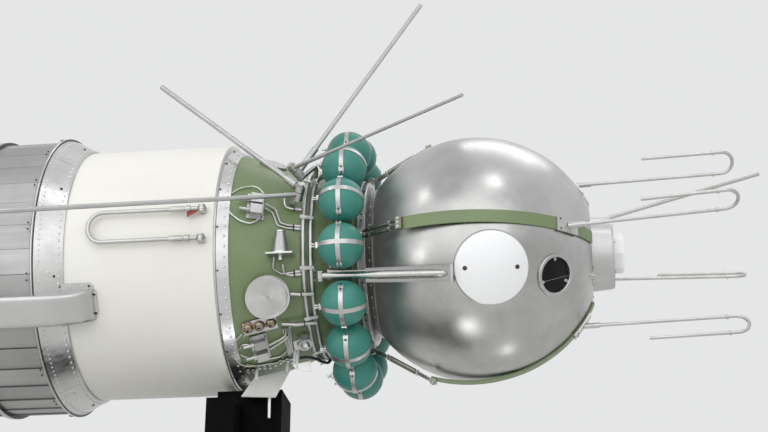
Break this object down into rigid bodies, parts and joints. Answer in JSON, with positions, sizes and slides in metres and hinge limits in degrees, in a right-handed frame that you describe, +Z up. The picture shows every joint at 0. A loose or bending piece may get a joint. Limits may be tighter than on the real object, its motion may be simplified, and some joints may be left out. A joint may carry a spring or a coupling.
{
  "type": "crewed spacecraft display model",
  "caption": "Museum display model of a crewed spacecraft on a stand: round descent sphere, green instrument cone ringed with gas bottles, white cylinder, ribbed upper stage.",
  "frame": {"origin": "centre of the underside of the stand's base plate, on the floor", "axes": "+X along the body towards the round sphere and its nose, +Y away from the viewer of the picture, +Z up"},
  "size_m": [1.7438, 0.8471, 1.6349],
  "materials": {
    "spun_aluminium": "polished, spun on a lathe",
    "satin_aluminium": "satin, rolled sheet",
    "pale_aluminium": "matt, blasted",
    "bright_steel": "bright drawn rod",
    "olive_paint": "semi-matt olive",
    "teal_paint": "semi-gloss teal",
    "white_paint": "semi-gloss warm white",
    "black_paint": "matt black",
    "brass": "polished",
    "dark_glass": "dark, glossy"
  },
  "bodies": {
    "model_on_stand": {"bottle_rack": "olive_paint", "bottle_straps": "bright_steel", "cable_duct": "satin_aluminium", "conical_band": "satin_aluminium", "cylinder_flange": "satin_aluminium", "deflector_plates": "satin_aluminium", "descent_sphere": "spun_aluminium", "dome_plate": "satin_aluminium", "equipment_cylinder": "white_paint", "gas_bottles": "teal_paint", "horn_cup": "satin_aluminium", "instrument_cone": "olive_paint", "loop_antenna_feet": "bright_steel", "lower_valve_blocks": "satin_aluminium", "main_nozzle": "satin_aluminium", "mast_foot": "bright_steel", "neck_ring": "satin_aluminium", "nose_antennas": "bright_steel", "nose_block": "white_paint", "nose_cylinder": "spun_aluminium", "nose_rod": "bright_steel", "pipe_hoops": "bright_steel", "pipework": "bright_steel", "porthole_frame": "satin_aluminium", "porthole_glass": "dark_glass", "sensor_pot": "satin_aluminium", "signal_domes": "brass", "sphere_straps": "olive_paint", "stage_front_hoop": "satin_aluminium", "stage_rear_hoop": "satin_aluminium", "stage_shell": "satin_aluminium", "stand_base": "black_paint", "stand_column": "black_paint", "stand_saddle": "black_paint", "steering_nozzles": "satin_aluminium", "strap_tensioners": "bright_steel", "tail_plate": "satin_aluminium", "top_cover": "satin_aluminium", "turned_disc": "satin_aluminium", "upper_valve_block": "satin_aluminium", "whip_hubs": "bright_steel"},
    "mast": {"cable_mast": "bright_steel", "cover_disc": "pale_aluminium"},
    "loop": {"loop_antenna": "bright_steel"},
    "whip_1": {"whip_rod_1": "bright_steel"},
    "whip_2": {"whip_rod_2": "bright_steel"},
    "whip_3": {"whip_rod_3": "bright_steel"},
    "whip_4": {"whip_rod_4": "bright_steel"}
  },
  "joints": [
    {"name": "mast_hinge", "type": "hinge", "parent": "model_on_stand", "child": "mast", "pos_m": [0.164, -0.16721, 1.05007], "axis": [0, 0.4571, -0.8894], "range_deg": [0, 60]},
    {"name": "loop_hinge", "type": "hinge", "parent": "model_on_stand", "child": "loop", "pos_m": [-0.038, -0.24888, 1.12818], "axis": [0, -0.0314, 0.9995], "range_deg": [0, 50]},
    {"name": "whip_1_swivel", "type": "hinge", "parent": "model_on_stand", "child": "whip_1", "pos_m": [0.13205, -0.21593, 1.20116], "axis": [0.3149, -0.7017, 0.6391], "range_deg": [0, 38]},
    {"name": "whip_2_swivel", "type": "hinge", "parent": "model_on_stand", "child": "whip_2", "pos_m": [0.12087, -0.18332, 1.24792], "axis": [0.5955, 0.6549, -0.4654], "range_deg": [0, 38]},
    {"name": "whip_3_swivel", "type": "hinge", "parent": "model_on_stand", "child": "whip_3", "pos_m": [0.11313, -0.19184, 1.25398], "axis": [-0.5955, -0.6549, 0.4654], "range_deg": [0, 38]},
    {"name": "whip_4_swivel", "type": "hinge", "parent": "model_on_stand", "child": "whip_4", "pos_m": [0.12795, -0.20681, 1.19285], "axis": [-0.3149, 0.7017, -0.6391], "range_deg": [0, 38]}
  ]
}
